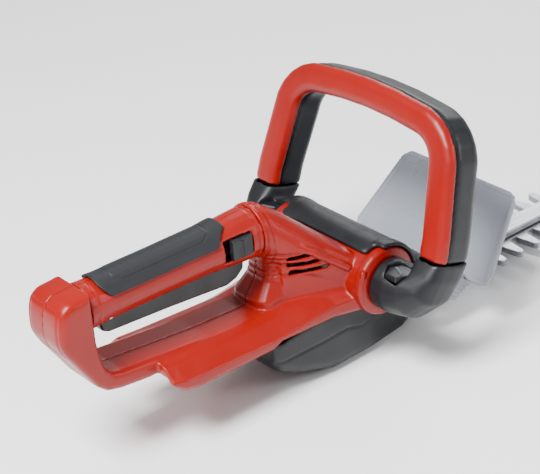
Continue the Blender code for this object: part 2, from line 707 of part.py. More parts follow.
def make_blades():
    half = comb_outline()
    outline = [(x, -y) for x, y in half] + half[::-1]
    slots = [slot(x, CRANK_THROW + 0.0006, BOLT_R + 0.0004) for x in bolt_stations()]
    pin_hole = circle((BLADE_PIN_X, 0.0), 0.0028, 12)
    eye = slot(0.0, CRANK_THROW + 0.0005, CRANK_THROW + CRANK_DISC_R + 0.0006, 8)
    reach = CRANK_THROW + CRANK_DISC_R + 0.0046
    rod_half = 0.0065
    left = arc((-0.0055, 0.0), reach, 90.0, 270.0, 10)
    foot = arc((0.0055, 0.0), reach, -90.0, -30.0, 3)
    tip = arc((BLADE_PIN_X, 0.0), rod_half, -90.0, 90.0, 6)
    crown = arc((0.0055, 0.0), reach, 30.0, 90.0, 3)
    conrod = left + foot + [(0.0290, -rod_half)] + tip + [(0.0290, rod_half)] + crown
    levels = {"upper": (UPPER_BLADE_Z, UPPER_BLADE_Z + BLADE_THICK + GAP), "lower": (LOWER_BLADE_Z, 0.0084)}
    for name, (blade_z, conrod_z) in levels.items():
        plate(f"{name}_blade", [outline, pin_hole] + slots, blade_z, blade_z + BLADE_THICK, STEEL)
        plate(f"{name}_conrod", [conrod, eye, pin_hole], conrod_z, conrod_z + BLADE_THICK, STEEL)
        low = min(blade_z, conrod_z) + 0.0002
        high = max(blade_z, conrod_z) + BLADE_THICK - 0.0002
        rod(f"{name}_blade_pin", (BLADE_PIN_X, 0, low), (BLADE_PIN_X, 0, high), 0.0023, STEEL, 12)


def make_guide():
    """Fixed bar above the blades, the bolts on which they slide, and the tip guard."""
    end = TEETH_START_X + TOOTH_COUNT * TOOTH_PITCH + 0.0065
    low = (0.0600, -GUIDE_HALF, GUIDE_Z)
    box("guide_bar", low, (end, GUIDE_HALF, GUIDE_Z + GUIDE_HEIGHT), ALUMINIUM, edge=0.0010)
    head_z = LOWER_BLADE_Z - GAP
    for number, x in enumerate(bolt_stations(), 1):
        profile = [(0.0, GUIDE_Z - GAP), (BOLT_R, GUIDE_Z - GAP), (BOLT_R, head_z), (0.0046, head_z)]
        profile += [(0.0046, head_z - 0.0022), (0.0, head_z - 0.0022)]
        turned(f"blade_bolt_{number}", profile, STEEL, 12, Matrix.Translation((x, 0, 0)))
    guard = [(0.0, -0.0260), (0.0080, -0.0260), (0.0140, -0.0180), (0.0140, 0.0180), (0.0080, 0.0260),
        (0.0, 0.0260)]
    tip = plate("tip_guard", [guard], 0.0090, GUIDE_Z + GUIDE_HEIGHT + 0.0010, DARK)
    tip.location.x = end + GAP


# ---------------------------------------------------------------- rear grip


def grip_radius(x):
    """Radius of the grip's red shell along its length."""
    stations = [
        (GRIP_REAR_X, 0.0175), (-0.2180, 0.0170), (-0.2080, 0.0164), (-0.1650, 0.0164), (-0.1250, 0.0168),
        (-0.1120, 0.0180), (-0.1000, 0.0190), (GRIP_FRONT_X, COLLAR_JOINT_R - 0.0002),
    ]
    for (x0, r0), (x1, r1) in zip(stations, stations[1:]):
        if x <= x1:
            return r0 + (r1 - r0) * (x - x0) / (x1 - x0)
    return stations[-1][1]


def grip_ring(x, shrink):
    radius = grip_radius(x) - shrink
    return section_x(x, GRIP_Z, radius, radius, 2.0, 20)


def make_grip():
    stations = [GRIP_REAR_X, -0.2180, -0.2080, -0.1650, -0.1250, -0.1120, -0.1000, GRIP_FRONT_X]
    whole = loft("body_grip", [grip_ring(x, 0.0) for x in stations], RED)
    inner = [GRIP_REAR_X + 0.0032, -0.2180, -0.2080, -0.1650, -0.1250, -0.1120, -0.1000,
        GRIP_FRONT_X - 0.0032]
    cut(whole, loft("grip_hollow", [grip_ring(x, 0.0026) for x in inner]))
    axis = (-0.24, 0, GRIP_Z), (-0.20, 0, GRIP_Z)
    cut(whole, rod("grip_rear_hole", *axis, SPIGOT_R + 0.0004))
    cut(whole, rod("grip_front_hole", (-0.10, 0, GRIP_Z), (-0.07, 0, GRIP_Z), 0.0126, sides=20))
    cut(whole, box("trigger_slot", (-0.2185, -0.0068, 0.0900), (-0.0872, 0.0068, 0.1180)))
    hinge_x, hinge_z = TRIGGER_HINGE
    cut(whole, rod("pin_seat", (hinge_x, -0.0121, hinge_z), (hinge_x, 0.0121, hinge_z), 0.0018, sides=12))
    cut(whole, box("lock_window", (-0.1150, -0.0240, 0.1165), (-0.0905, -0.0135, 0.1337)))
    baked(whole)
    halves = [half_of(whole, "body_grip_left", 1, RED), half_of(whole, "body_grip_right", -1, RED)]
    bpy.data.objects.remove(whole)
    screw_together(halves, "grip_screw", -0.1850, 0.1320, 0.0125)
    for half, name in zip(halves, ("grip_left", "grip_right")):
        half.name = name
    spans = [
        (-0.2170, 60), (-0.2150, 44), (-0.2122, 31), (-0.2090, 24), (-0.1650, 23), (-0.1250,
            23), (-0.1205, 24),
        (-0.1175, 36), (-0.1140, 50), (-0.1090, 62),
    ]
    rings = []
    for x, low_angle in spans:
        outer = arc((0.0, GRIP_Z), grip_radius(x) + 0.0024, low_angle, 180 - low_angle, 10)
        under = arc((0.0, GRIP_Z), grip_radius(x) + 0.0009, 180 - low_angle, low_angle, 10)
        rings.append([(x, y, z) for y, z in outer + under])
    loft("grip_overmould", rings, RUBBER)
    lock = box("grip_lock", (-0.1093, -0.0190, 0.1171), (-0.0911, -0.0140, 0.1331), DARK, edge=0.0007)
    join(lock, box("lock_rib", (-0.1025, -0.0200, 0.1185), (-0.1010, -0.0180, 0.1317)))
    rod("trigger_pin", (hinge_x, -0.0118, hinge_z), (hinge_x, 0.0118, hinge_z), 0.0015, STEEL, 12)
    side = [
        (-0.2160, 0.1170), (-0.2165, 0.1080), (-0.2150, 0.1015), (-0.2100, 0.0990), (-0.1600, 0.0960),
        (-0.1080, 0.0918), (-0.0990, 0.0945), (-0.0925, 0.1000), (-0.0915, 0.1068), (-0.0960, 0.1096),
        (-0.1900, 0.1110), (-0.2060, 0.1170),
    ]
    trigger = slab("trigger", side, 0.0062, 0.0015, DARK)
    cut(trigger, rod("trigger_bore", (hinge_x, -0.02, hinge_z), (hinge_x, 0.02, hinge_z), 0.0018, sides=12))
    box("trigger_switch", (-0.1330, -0.0055, 0.1215), (-0.1120, 0.0055, 0.1330), DARK)
    spring_x = -0.1520
    low = 0.1112
    high = 0.1368
    turns = 4
    path = []
    for i in range(turns * 8 + 1):
        angle = 2 * math.pi * i / 8
        rise = low + 0.0006 + (high - low - 0.0012) * i / (turns * 8)
        path.append((spring_x + 0.0030 * math.cos(angle), 0.0030 * math.sin(angle), rise))
    tube("trigger_spring", path, 0.0005, STEEL, 1)


# ---------------------------------------------------------------- front bail


def bail_frame():
    """From the bail's own frame, +Z up its legs and +X towards the blade, to the object's."""
    return Matrix.Translation((0, 0, PIVOT_Z)) @ Matrix.Rotation(BAIL_LEAN, 4, "Y")


def bail_path():
    """(y, s) points up the left leg, over the arched crossbar and down the right leg."""
    bend_s = CROSSBAR_S - CORNER_R
    half = [(LEG_FOOT_Y, LEG_FOOT_S), (LEG_FOOT_Y - 0.0005, 0.0450)]
    half += arc((LEG_TOP_Y - CORNER_R, bend_s), CORNER_R, 0, 90, 6)
    flat = LEG_TOP_Y - CORNER_R
    half.append((0.5 * flat, CROSSBAR_S + 0.75 * CROSSBAR_ARCH))
    return half + [(0.0, CROSSBAR_S + CROSSBAR_ARCH)] + [(-y, s) for y, s in reversed(half)]


def sweep_bail(name, section, material, forward):
    """Sweeps (t, n) sections along the bail: t to the blade, n outwards. forward shifts t with height."""
    path = [Vector(point) for point in bail_path()]
    frame = bail_frame()
    rings = []
    for i, point in enumerate(path):
        before = (point - path[i - 1]).normalized() if i else None
        after = (path[i + 1] - point).normalized() if i + 1 < len(path) else None
        mean = (before or after) + (after or before)
        along = mean.normalized()
        spread = 1.0 if before is None or after is None else 1.0 / max(0.5, along.dot(after))
        normal = Vector((along.y, -along.x)) * spread
        if before is None or after is None:
            normal = Vector((math.copysign(1.0, point.x), 0.0))
        ring = []
        for t, n in section:
            place = point + normal * n * (1.0 - CROSSBAR_SLIMMER * abs(normal.y))
            ring.append(frame @ Vector((t + forward(point.y), place.x, place.y)))
        rings.append(ring)
    return loft(name, rings, material)


def handle_section():
    """U section of the red handle, open towards the blade."""
    back = HANDLE_T - HANDLE_DEPTH / 2
    front = HANDLE_T + HANDLE_DEPTH / 2
    half = HANDLE_THICK / 2
    inner = half - HANDLE_WALL
    floor = back + 0.0036
    upper = [(front, half), (back + 0.0052, half - 0.0002), (back + 0.0018, half - 0.0022), (back,
        half - 0.0066)]
    lower = [(t, -n) for t, n in reversed(upper)]
    return upper + lower + [(front, -inner), (floor, -inner), (floor, inner), (front, inner)]


def switch_section():
    """T section of the switch bar: a tongue inside the red handle and a rounded front flange."""
    face = HANDLE_T + HANDLE_DEPTH / 2 + 0.0004
    front = face + SWITCH_DEPTH
    tongue = HANDLE_THICK / 2 - HANDLE_WALL - 0.0006
    half = HANDLE_THICK / 2 - 0.0006
    upper = [(front, half - 0.0085), (front - 0.0022, half - 0.0034), (front - 0.0075, half - 0.0003)]
    upper += [(face, half), (face, tongue), (face - 0.0036, tongue)]
    return upper + [(t, -n) for t, n in reversed(upper)]


def elbow_rings(side, shrink, first, lift=0.0):
    """Sections of the tube from the hub face, outwards and up to the socket under the legs."""
    stations = [
        (0.0000, HUB_FACE_Y + 0.0005, 0.0000, 0, HUB_R, HUB_R, 2.0),
        (0.0000, 0.0700, 0.0000, 0, HUB_R, HUB_R, 2.0),
        (0.0020, 0.0820, 0.0012, 24, 0.0205, 0.0198, 2.1),
        (0.0055, 0.0908, 0.0085, 55, 0.0200, 0.0172, 2.4),
        (0.0095, 0.0934, 0.0185, 80, 0.0186, 0.0146, 3.0),
        (0.0136, 0.0935, 0.0289 + lift, 90, 0.0174, 0.0136, 4.0),
    ]
    frame = bail_frame()
    rings = []
    for t, y, s, angle, half_t, half_n, power in stations[first:]:
        bend = math.radians(angle)
        ring = []
        for u, v in superellipse(half_t - shrink, half_n - shrink, power, 20):
            ring.append(frame @ Vector((t + u, side * (y - v * math.sin(bend)), s + v * math.cos(bend))))
        rings.append(ring)
    return rings


def make_bail():
    frame = bail_frame()
    slope = math.tan(SWITCH_TRAVEL)
    handle = sweep_bail("bail_handle", handle_section(), RED, lambda s: 0.0)
    bar = sweep_bail("switch_bar", switch_section(), DARK, lambda s: (s - SWITCH_HINGE_S) * slope)
    for name, side in (("left", 1), ("right", -1)):
        foot = []
        for s_low, narrower in ((0.0207, 0.0006), (0.0320, 0.0)):
            half_t = 0.0065 - narrower
            corners = [(half_t, 0.0070), (-half_t, 0.0070), (-half_t, -0.0070), (half_t, -0.0070)]
            foot.append([frame @ Vector((SWITCH_PIN_T + t, side * (LEG_FOOT_Y + y), s_low)) for t,
                y in corners])
        join(bar, loft("switch_foot", foot))
        pin = [frame @ Vector((SWITCH_PIN_T, side * y, SWITCH_HINGE_S)) for y in (0.0807, 0.1062)]
        rod(f"switch_pin_{name}", *pin, 0.0018, STEEL, 12)
        bore = [frame @ Vector((SWITCH_PIN_T, side * y, SWITCH_HINGE_S)) for y in (0.0804, 0.1065)]
        cut(bar, rod("pin_bore_wide", *bore, 0.0022, sides=12))
        elbow = loft(f"elbow_{name}", elbow_rings(side, 0.0, 0), DARK)
        cut(elbow, loft("elbow_socket", elbow_rings(side, 0.0030, 4, lift=0.0100)))
        cut(elbow, rod("pin_bore", *bore, 0.0021, sides=12))
        bore = [frame @ Vector((0, side * y, 0)) for y in (0.0500, 0.0745)]
        cut(elbow, rod("elbow_bore", *bore, PIVOT_SHAFT_R + 0.0003, sides=16))
        make_release_button(name, side, elbow)
        bush = [(0.0063, 0.0574), (0.0100, 0.0574), (0.0100, 0.0530), (0.0063, 0.0530)]
        turn = Matrix.Translation((0, 0, PIVOT_Z)) @ Matrix.Rotation(math.radians(-90 * side), 4, "X")
        turned(f"pivot_bush_{name}", bush, DARK, 16, turn)
    rod("pivot_shaft", (0, -0.0742, PIVOT_Z), (0, 0.0742, PIVOT_Z), PIVOT_SHAFT_R, STEEL, 16)


def make_release_button(name, side, elbow):
    """Six-sided button in a well on top of the elbow, on a small coil spring."""
    centre = Vector((-0.0045, side * 0.0745, 0.0))
    reach = 0.0104
    wide = 0.0094
    hexagon = [(0.0, reach), (-wide, 0.0056), (-wide, -0.0056), (0.0, -reach), (wide, -0.0056), (wide,
        0.0056)]

    def prism(label, grow, low, high, material=None):
        rings = [[centre + Vector((x * grow, y * grow, z)) for x, y in hexagon] for z in (low, high)]
        return loft(label, rings, material)

    cut(elbow, prism("button_well", 1.0, BUTTON_WELL_Z, 0.1000))
    low = BUTTON_WELL_Z + BUTTON_SPRING
    prism(f"release_button_{name}", 0.94, low, low + 0.0046, DARK)
    path = []
    steps = 14
    for i in range(steps + 1):
        angle = 2 * math.pi * i / 7
        rise = BUTTON_WELL_Z + 0.0005 + (BUTTON_SPRING - 0.0010) * i / steps
        path.append(centre + Vector((0.0030 * math.cos(angle), 0.0030 * math.sin(angle), rise)))
    tube(f"button_spring_{name}", path, 0.0003, STEEL, 1)


# ---------------------------------------------------------------- electrics


def smooth_route(points, count):
    """A Catmull-Rom curve through the route's points."""
    ends = [points[0]] + points + [points[-1]]
    route = []
    for i in range(len(points) - 1):
        before, here, there, after = [Vector(point) for point in ends[i:i + 4]]
        for k in range(count):
            u = k / count
            bend = (2 * before - 5 * here + 4 * there - after) * u * u
            twist = (3 * here - before - 3 * there + after) * u * u * u
            route.append((2 * here + (there - before) * u + bend + twist) / 2)
    return route + [Vector(points[-1])]


def make_electrics():
    """Battery terminals in the roof of the bay, the control board and the motor leads."""
    box("terminal_block", (-0.1120, -0.0270, 0.0512), (-0.0990, 0.0270, 0.0600), DARK, edge=0.0008)
    for name, y in (("positive", 0.0140), ("negative", -0.0140)):
        low = (-0.1270, y - 0.0006, 0.0520)
        box(f"contact_{name}", low, (-0.1123, y + 0.0006, 0.0590), COPPER)
    board = box("control_board", (-0.0880, -0.0300, 0.0435), (-0.0620, 0.0300, 0.0451), BOARD)
    join(board, box("board_capacitor", (-0.0850, -0.0240, 0.0445), (-0.0760, -0.0100, 0.0485)))
    join(board, box("board_heatsink", (-0.0840, 0.0060, 0.0445), (-0.0720, 0.0240, 0.0490)))
    for name, y, colour in (("live", 0.0120, RED), ("return", -0.0120, DARK)):
        route = [
            (-0.0660, y, 0.0466), (-0.0655, y, 0.0520), (-0.0600, y, 0.0660), (-0.0585, y, 0.0800),
            (-0.0530, y, 0.0905), (-0.0440, 0.8 * y, 0.0920), (-0.0390, 0.8 * y, 0.0900),
        ]
        tube(f"motor_lead_{name}", smooth_route(route, 2), 0.0011, colour, 1)


if __name__ == "__main__":
    clear_scene()
    make_body()
    make_spigots()
    make_front_cover()
    make_gearbox_cover()
    make_shield()
    make_drive()
    make_blades()
    make_guide()
    make_grip()
    make_bail()
    make_electrics()
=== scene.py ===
"""Looks of the cordless hedge trimmer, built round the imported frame. Metres; +X along the blade, +Z up."""
import json
import math

import bmesh
import bpy
import numpy as np
from mathutils import Matrix, Vector


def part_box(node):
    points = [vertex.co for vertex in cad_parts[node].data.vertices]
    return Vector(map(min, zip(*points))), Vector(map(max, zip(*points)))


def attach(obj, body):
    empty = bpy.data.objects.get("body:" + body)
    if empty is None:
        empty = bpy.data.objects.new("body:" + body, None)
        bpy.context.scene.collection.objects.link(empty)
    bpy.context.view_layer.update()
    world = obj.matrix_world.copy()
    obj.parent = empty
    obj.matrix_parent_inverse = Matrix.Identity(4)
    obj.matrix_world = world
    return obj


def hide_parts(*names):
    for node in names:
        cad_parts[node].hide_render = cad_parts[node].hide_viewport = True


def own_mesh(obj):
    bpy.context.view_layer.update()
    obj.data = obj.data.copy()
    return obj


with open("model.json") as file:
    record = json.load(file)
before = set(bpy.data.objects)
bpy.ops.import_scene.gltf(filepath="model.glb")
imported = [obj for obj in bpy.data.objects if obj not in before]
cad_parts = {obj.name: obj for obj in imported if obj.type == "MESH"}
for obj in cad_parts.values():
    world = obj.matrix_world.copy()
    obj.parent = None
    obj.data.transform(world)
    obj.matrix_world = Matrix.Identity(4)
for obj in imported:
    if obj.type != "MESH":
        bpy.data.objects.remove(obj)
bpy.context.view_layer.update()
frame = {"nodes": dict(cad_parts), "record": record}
record = frame["record"]
nodes = frame["nodes"]
slot_of = {row["node"]: row["material_slot"] for row in record["subparts"]}

# Camera, fitted to the photograph: degrees and metres, and the lens in millimetres
CAMERA_TURN = (-38.1, 28.4, -4.4)
CAMERA_PLACE = (-0.7122, -0.8554, 0.6934)
LENS_LENGTH = 111.7
SENSOR_WIDTH = 36
LENS_SHIFT = (-0.0404, -0.0061)
NEAREST_SEEN = 0.01

# Light and floor: a light is its place, its target, its two sides and its watts
WORLD_STRENGTH = 0.42
LIGHTS = {
    "key": ((-0.9, -0.2, 1.5), (-0.05, 0, 0.08), (0.6, 0.6), 76),
    "side": ((0.9, -1.2, 0.8), (0.0, 0, 0.08), (0.9, 0.5), 10),
    "back": ((1.5, 0.9, 1.2), (0.1, 0, 0.05), (1.2, 0.9), 22),
}
FLOOR_SIDE = 6.0
FLOOR_CELLS = 8
FLOOR_Z = -0.0008

# The noise values over which a surface goes from one colour, or roughness, to the other
COLOUR_BAND = (0.35, 0.65)
ROUGHNESS_BAND = (0.3, 0.7)

# Smoothing: the share of the way to the neighbours' middle, then the share back
SMOOTH_IN = 0.56
SMOOTH_BACK = -0.42
WELD_REACH = 1e-6
EDGE_WIDTH = 0.00012
EDGE_ANGLE = 40

# The seam between two shells: what smoothing holds, how that fades, and the hairline left at the end
SEAM_HELD = 0.0006
SEAM_FADE = 0.0012
SEAM_REACH = 0.0007
SEAM_GAP = 0.00003

# Relief on the red body; a size is a line's height or depth, and its half width
GRIP_AXIS_Z = 0.1243
HOUSING_RIB = [(-0.0590, 0, 0.1125), (-0.0230, 0, 0.0850)]
HOUSING_RIB_SIZE = (0.0024, 0.0034)
JOINT_RINGS = (-0.0780, -0.0735)
JOINT_RING_SIZE = (0.0006, 0.0010)
NECK_FOLDS = (0.0885, 0.0975, 0.1020, 0.1065)
NECK_FOLD_SIZE = (0.0009, 0.0014)
NECK_AXIS_X = -0.0612
HEEL_PANEL_Z = 0.1200
HEEL_PANEL_HALF = 0.0165
HEEL_GROOVE_SIZE = (0.0005, 0.09)

# Relief on the dark parts
BELLY_LINE = [(-0.0920, 0.0310, 0), (-0.0250, 0.0330, 0), (-0.0120, 0.0290, 0), (0.0620, 0.0330, 0)]
BELLY_GROOVE_SIZE = (0.0008, 0.0014)
GRIP_RINGS = (-0.0850, -0.2210)
GRIP_RING_SIZE = (0.0005, 0.0009)
OVERMOULD_RADIUS = 0.0195
PANEL_ENDS = (-0.2040, -0.1220)
PANEL_HALF_ARC = 0.0135
PANEL_CORNER = 0.008
PANEL_GROOVE_SIZE = (0.0005, 0.0009)
PANEL_LIFT = 0.0003
RIB_PITCH = 0.0034
RIB_GROOVE_SIZE = (0.0007, 0.0010)
BUTTON_RIB_TURN = 22.0

# The hand shield, seen in its own plane
SHIELD_FOOT = np.array((0.0846, 0.0, 0.0348))
SHIELD_LEAN = math.atan2(0.0502, 0.0570)
SHIELD_UP = np.array((math.sin(SHIELD_LEAN), 0.0, math.cos(SHIELD_LEAN)))
SHIELD_FACE = np.array((math.cos(SHIELD_LEAN), 0.0, -math.sin(SHIELD_LEAN)))
SHIELD_HALF_WIDTH = 0.0750
SHIELD_NARROWING = 0.0130
SHIELD_HEIGHT = 0.0760
RIM_LIFT = 0.0011

# A spring, the joint that shortens it, and the share of its length that is left
SPRINGS = [
    ("trigger_spring", "trigger_pull", 0.84),
    ("button_spring_left", "button_left_press", 0.42),
    ("button_spring_right", "button_right_press", 0.42),
]


# ---------------------------------------------------------------- materials

def link(tree, a, b):
    tree.links.new(a, b)


def coords(tree, stretch=(1, 1, 1)):
    place = tree.nodes.new("ShaderNodeTexCoord")
    scale = tree.nodes.new("ShaderNodeMapping")
    scale.inputs["Scale"].default_value = stretch
    link(tree, place.outputs["Object"], scale.inputs["Vector"])
    return scale.outputs["Vector"]


def noise(tree, where, scale, detail=2.0):
    made = tree.nodes.new("ShaderNodeTexNoise")
    made.inputs["Scale"].default_value = scale
    made.inputs["Detail"].default_value = detail
    link(tree, where, made.inputs["Vector"])
    return made.outputs["Fac"]


def ramp(tree, value, low, high, a, b):
    made = tree.nodes.new("ShaderNodeValToRGB")
    made.color_ramp.elements[0].position = low
    made.color_ramp.elements[1].position = high
    made.color_ramp.elements[0].color = (*a, 1)
    made.color_ramp.elements[1].color = (*b, 1)
    link(tree, value, made.inputs["Fac"])
    return made.outputs["Color"]


def spread(tree, value, low, high):
    made = tree.nodes.new("ShaderNodeMapRange")
    made.inputs["From Min"].default_value = ROUGHNESS_BAND[0]
    made.inputs["From Max"].default_value = ROUGHNESS_BAND[1]
    made.inputs["To Min"].default_value = low
    made.inputs["To Max"].default_value = high
    link(tree, value, made.inputs["Value"])
    return made.outputs["Result"]


def finish(name, dark, light, rough, grain, depth, metallic=0.0, stretch=(1, 1, 1), cloud=14.0, **sockets):
    """A moulded or ground surface: slow colour drift, roughness drift and a fine grain."""
    material = bpy.data.materials.new(name)
    material.use_nodes = True
    tree = material.node_tree
    shader = tree.nodes["Principled BSDF"]
    where = coords(tree, stretch)
    drift = noise(tree, where, cloud, 4.0)
    link(tree, ramp(tree, drift, *COLOUR_BAND, dark, light), shader.inputs["Base Color"])
    link(tree, spread(tree, noise(tree, where, cloud * 5, 3.0), *rough), shader.inputs["Roughness"])
    bump = tree.nodes.new("ShaderNodeBump")
    bump.inputs["Strength"].default_value = 1.0
    bump.inputs["Distance"].default_value = depth
    link(tree, noise(tree, where, grain, 2.0), bump.inputs["Height"])
    link(tree, bump.outputs["Normal"], shader.inputs["Normal"])
    shader.inputs["Metallic"].default_value = metallic
    for socket, value in sockets.items():
        shader.inputs[socket.replace("_", " ")].default_value = value
    return material


LOOKS = {
    # Painted highlight: a lighter grey than the buttons' dark plastic, for the light caught along the raised
    # ribs on the release buttons
    "button_rib_highlight": finish(
        "button_rib_highlight_look", (0.050, 0.055, 0.064), (0.066, 0.072, 0.082), (0.36, 0.48),
        1800, 0.00002, Specular_IOR_Level=0.4,
    ),
    "red_shell": finish(
        "red_shell_look", (0.225, 0.0030, 0.0010), (0.260, 0.0040, 0.0014), (0.32, 0.42),
        1500, 0.000012, Specular_IOR_Level=0.34,
    ),
    "dark_shell": finish(
        "dark_shell_look", (0.0062, 0.0074, 0.0092), (0.0090, 0.0104, 0.0126), (0.40, 0.52),
        1800, 0.00003, Specular_IOR_Level=0.34,
    ),
    "dark_control": finish(
        "dark_control_look", (0.0055, 0.0066, 0.0084), (0.0080, 0.0094, 0.0116), (0.34, 0.46),
        1800, 0.00002, Specular_IOR_Level=0.36,
    ),
    "soft_grip": finish(
        "soft_grip_look", (0.0088, 0.0100, 0.0122), (0.0120, 0.0134, 0.0160), (0.50, 0.62),
        2400, 0.00004, Specular_IOR_Level=0.34,
    ),
    "smoke_guard": finish(
        "smoke_guard_look", (0.33, 0.35, 0.40), (0.35, 0.37, 0.42), (0.26, 0.32),
        900, 0.00001, cloud=6.0, Transmission_Weight=0.30, IOR=1.35,
    ),
    "blade_steel": finish(
        "blade_steel_look", (0.26, 0.27, 0.29), (0.36, 0.37, 0.39), (0.24, 0.40),
        420, 0.00002, metallic=1.0, stretch=(1, 14, 14), Anisotropic=0.4,
    ),
    "bar_alloy": finish(
        "bar_alloy_look", (0.34, 0.35, 0.37), (0.44, 0.45, 0.47), (0.30, 0.44),
        500, 0.00002, metallic=1.0, stretch=(1, 10, 10),
    ),
    "fixing_steel": finish(
        "fixing_steel_look", (0.36, 0.37, 0.38), (0.50, 0.51, 0.52), (0.25, 0.40),
        1200, 0.00002, metallic=1.0,
    ),
    "contact_copper": finish(
        "contact_copper_look", (0.62, 0.30, 0.14), (0.74, 0.40, 0.20), (0.24, 0.36),
        1200, 0.00002, metallic=1.0,
    ),
    "circuit_board": finish(
        "circuit_board_look", (0.010, 0.09, 0.035), (0.02, 0.13, 0.05), (0.30, 0.42),
        900, 0.00003, cloud=240.0,
    ),
    "lead_red": finish(
        "lead_red_look", (0.45, 0.012, 0.010), (0.55, 0.020, 0.014), (0.40, 0.52),
        1500, 0.00002,
    ),
    "lead_black": finish(
        "lead_black_look", (0.014, 0.014, 0.016), (0.022, 0.022, 0.024), (0.40, 0.52),
        1500, 0.00002,
    ),
}


def paint(obj, name):
    obj.data.materials.clear()
    obj.data.materials.append(LOOKS[name])


# ---------------------------------------------------------------- smoothing of the frame's shapes

def welded(mesh):
    bm = bmesh.new()
    bm.from_mesh(mesh)
    bmesh.ops.remove_doubles(bm, verts=bm.verts, dist=WELD_REACH)
    bm.to_mesh(mesh)
    bm.free()


def fresh(name, mesh):
    obj = bpy.data.objects.new(name, mesh)
    bpy.context.scene.collection.objects.link(obj)
    return obj


def evaluated(obj):
    bpy.context.view_layer.update()
    graph = bpy.context.evaluated_depsgraph_get()
    made = bpy.data.meshes.new_from_object(obj.evaluated_get(graph))
    obj.modifiers.clear()
    obj.data = made
    return obj


def points_of(mesh):
    flat = np.empty(len(mesh.vertices) * 3, np.float64)
    mesh.vertices.foreach_get("co", flat)
    return flat.reshape(-1, 3)


def relaxed(mesh, passes, held, back=SMOOTH_BACK):
    """Moves each point towards its neighbours' middle, then away from it by back, which may be 0.

    held(points) is 0 where a point is free and 1 where it stays.
    """
    points = points_of(mesh)
    ends = np.empty(len(mesh.edges) * 2, np.int64)
    mesh.edges.foreach_get("vertices", ends)
    ends = ends.reshape(-1, 2)
    both = np.concatenate([ends, ends[:, ::-1]])
    count = np.bincount(both[:, 0], minlength=len(points))[:, None]
    share = 1.0 - held(points)[:, None]
    for number in range(passes * 2):
        pull = SMOOTH_IN if number % 2 == 0 else back
        middle = np.empty_like(points)
        for axis in range(3):
            beside = points[both[:, 1], axis]
            middle[:, axis] = np.bincount(both[:, 0], weights=beside, minlength=len(points))
        points = points + pull * share * (middle / count - points)
    mesh.vertices.foreach_set("co", points.reshape(-1))
    mesh.update()


def shaped(mesh, raise_by):
    """Moves each point along its normal by raise_by(points, normals), in metres."""
    points = points_of(mesh)
    flat = np.empty(len(points) * 3, np.float32)
    mesh.vertices.foreach_get("normal", flat)
    normals = flat.reshape(-1, 3).astype(np.float64)
    points = points + normals * raise_by(points, normals)[:, None]
    mesh.vertices.foreach_set("co", points.reshape(-1))
    mesh.update()


def bell(distance, half_width):
    """1 at the middle of a line and 0 beyond its half width, with soft sides."""
    near = np.clip(1.0 - (distance / half_width) ** 2, 0.0, 1.0)
    return near * near * (3.0 - 2.0 * near)


def ridge(distance, size):
    """Height of a rounded line, from its size: its full height and its half width."""
    height, half_width = size
    return height * bell(distance, half_width)


def step(value, start, end):
    """0 up to start and 1 from end, with a smooth rise between them."""
    part = np.clip((value - start) / (end - start), 0.0, 1.0)
    return part * part * (3.0 - 2.0 * part)


def to_path(points, path):
    """Each point's distance to a line of straight runs, and how far along the nearest place is, 0 to 1."""
    best = np.full(len(points), 1e9)
    along = np.zeros(len(points))
    runs = [np.array(b, float) - np.array(a, float) for a, b in zip(path, path[1:])]
    whole = sum(float(np.linalg.norm(run)) for run in runs)
    passed = 0.0
    for start, run in zip(path, runs):
        length = float(np.linalg.norm(run))
        share = np.clip(((points - np.array(start)) @ run) / length ** 2, 0.0, 1.0)
        gap = np.linalg.norm(points - (np.array(start) + share[:, None] * run), axis=1)
        nearer = gap < best
        best = np.where(nearer, gap, best)
        along = np.where(nearer, (passed + share * length) / whole, along)
        passed += length
    return best, along


def mirrored(points):
    return np.column_stack([points[:, 0], np.abs(points[:, 1]), points[:, 2]])


def body_relief(points, normals):
    """A rib on each side, rings at the grip joint, folds in the neck and a grooved outline on the heel."""
    side_view = np.column_stack([points[:, 0], np.zeros(len(points)), points[:, 2]])
    gap, along = to_path(side_view, HOUSING_RIB)
    sideways = step(np.abs(normals[:, 1]), 0.15, 0.35) * step(np.abs(points[:, 1]), 0.016, 0.020)
    sideways = sideways * (normals[:, 1] * points[:, 1] > 0.0)
    lift = ridge(gap, HOUSING_RIB_SIZE) * step(along, 0.0, 0.35) * sideways
    from_axis = np.hypot(points[:, 1], points[:, 2] - GRIP_AXIS_Z)
    outside = step(from_axis, 0.0180, 0.0190) * (1.0 - step(from_axis, 0.0260, 0.0280))
    for ring_x in JOINT_RINGS:
        lift = lift - ridge(points[:, 0] - ring_x, JOINT_RING_SIZE) * outside
    neck = step(points[:, 0], -0.0840, -0.0790) * (1.0 - step(points[:, 0], -0.0600, -0.0520))
    neck = neck * step(np.hypot(points[:, 0] - NECK_AXIS_X, points[:, 1]), 0.0148, 0.0156)
    for fold_z in NECK_FOLDS:
        lift = lift - ridge(points[:, 2] - fold_z, NECK_FOLD_SIZE) * neck
    cap = (1.0 - step(points[:, 0], -0.2500, -0.2480)) * (normals[:, 0] < -0.2)
    across = np.abs(points[:, 1]) / HEEL_PANEL_HALF
    over = np.abs(points[:, 2] - HEEL_PANEL_Z) / HEEL_PANEL_HALF
    return lift - ridge(np.maximum(across, over) - 1.0, HEEL_GROOVE_SIZE) * cap


def belly_relief(points, normals):
    """A groove along the dark belly."""
    flat = mirrored(points)
    outside = step(flat[:, 1], 0.006, 0.012)
    gap, _ = to_path(flat[:, [0, 2, 2]] * np.array([1, 1, 0]), BELLY_LINE)
    return -ridge(gap, BELLY_GROOVE_SIZE) * outside


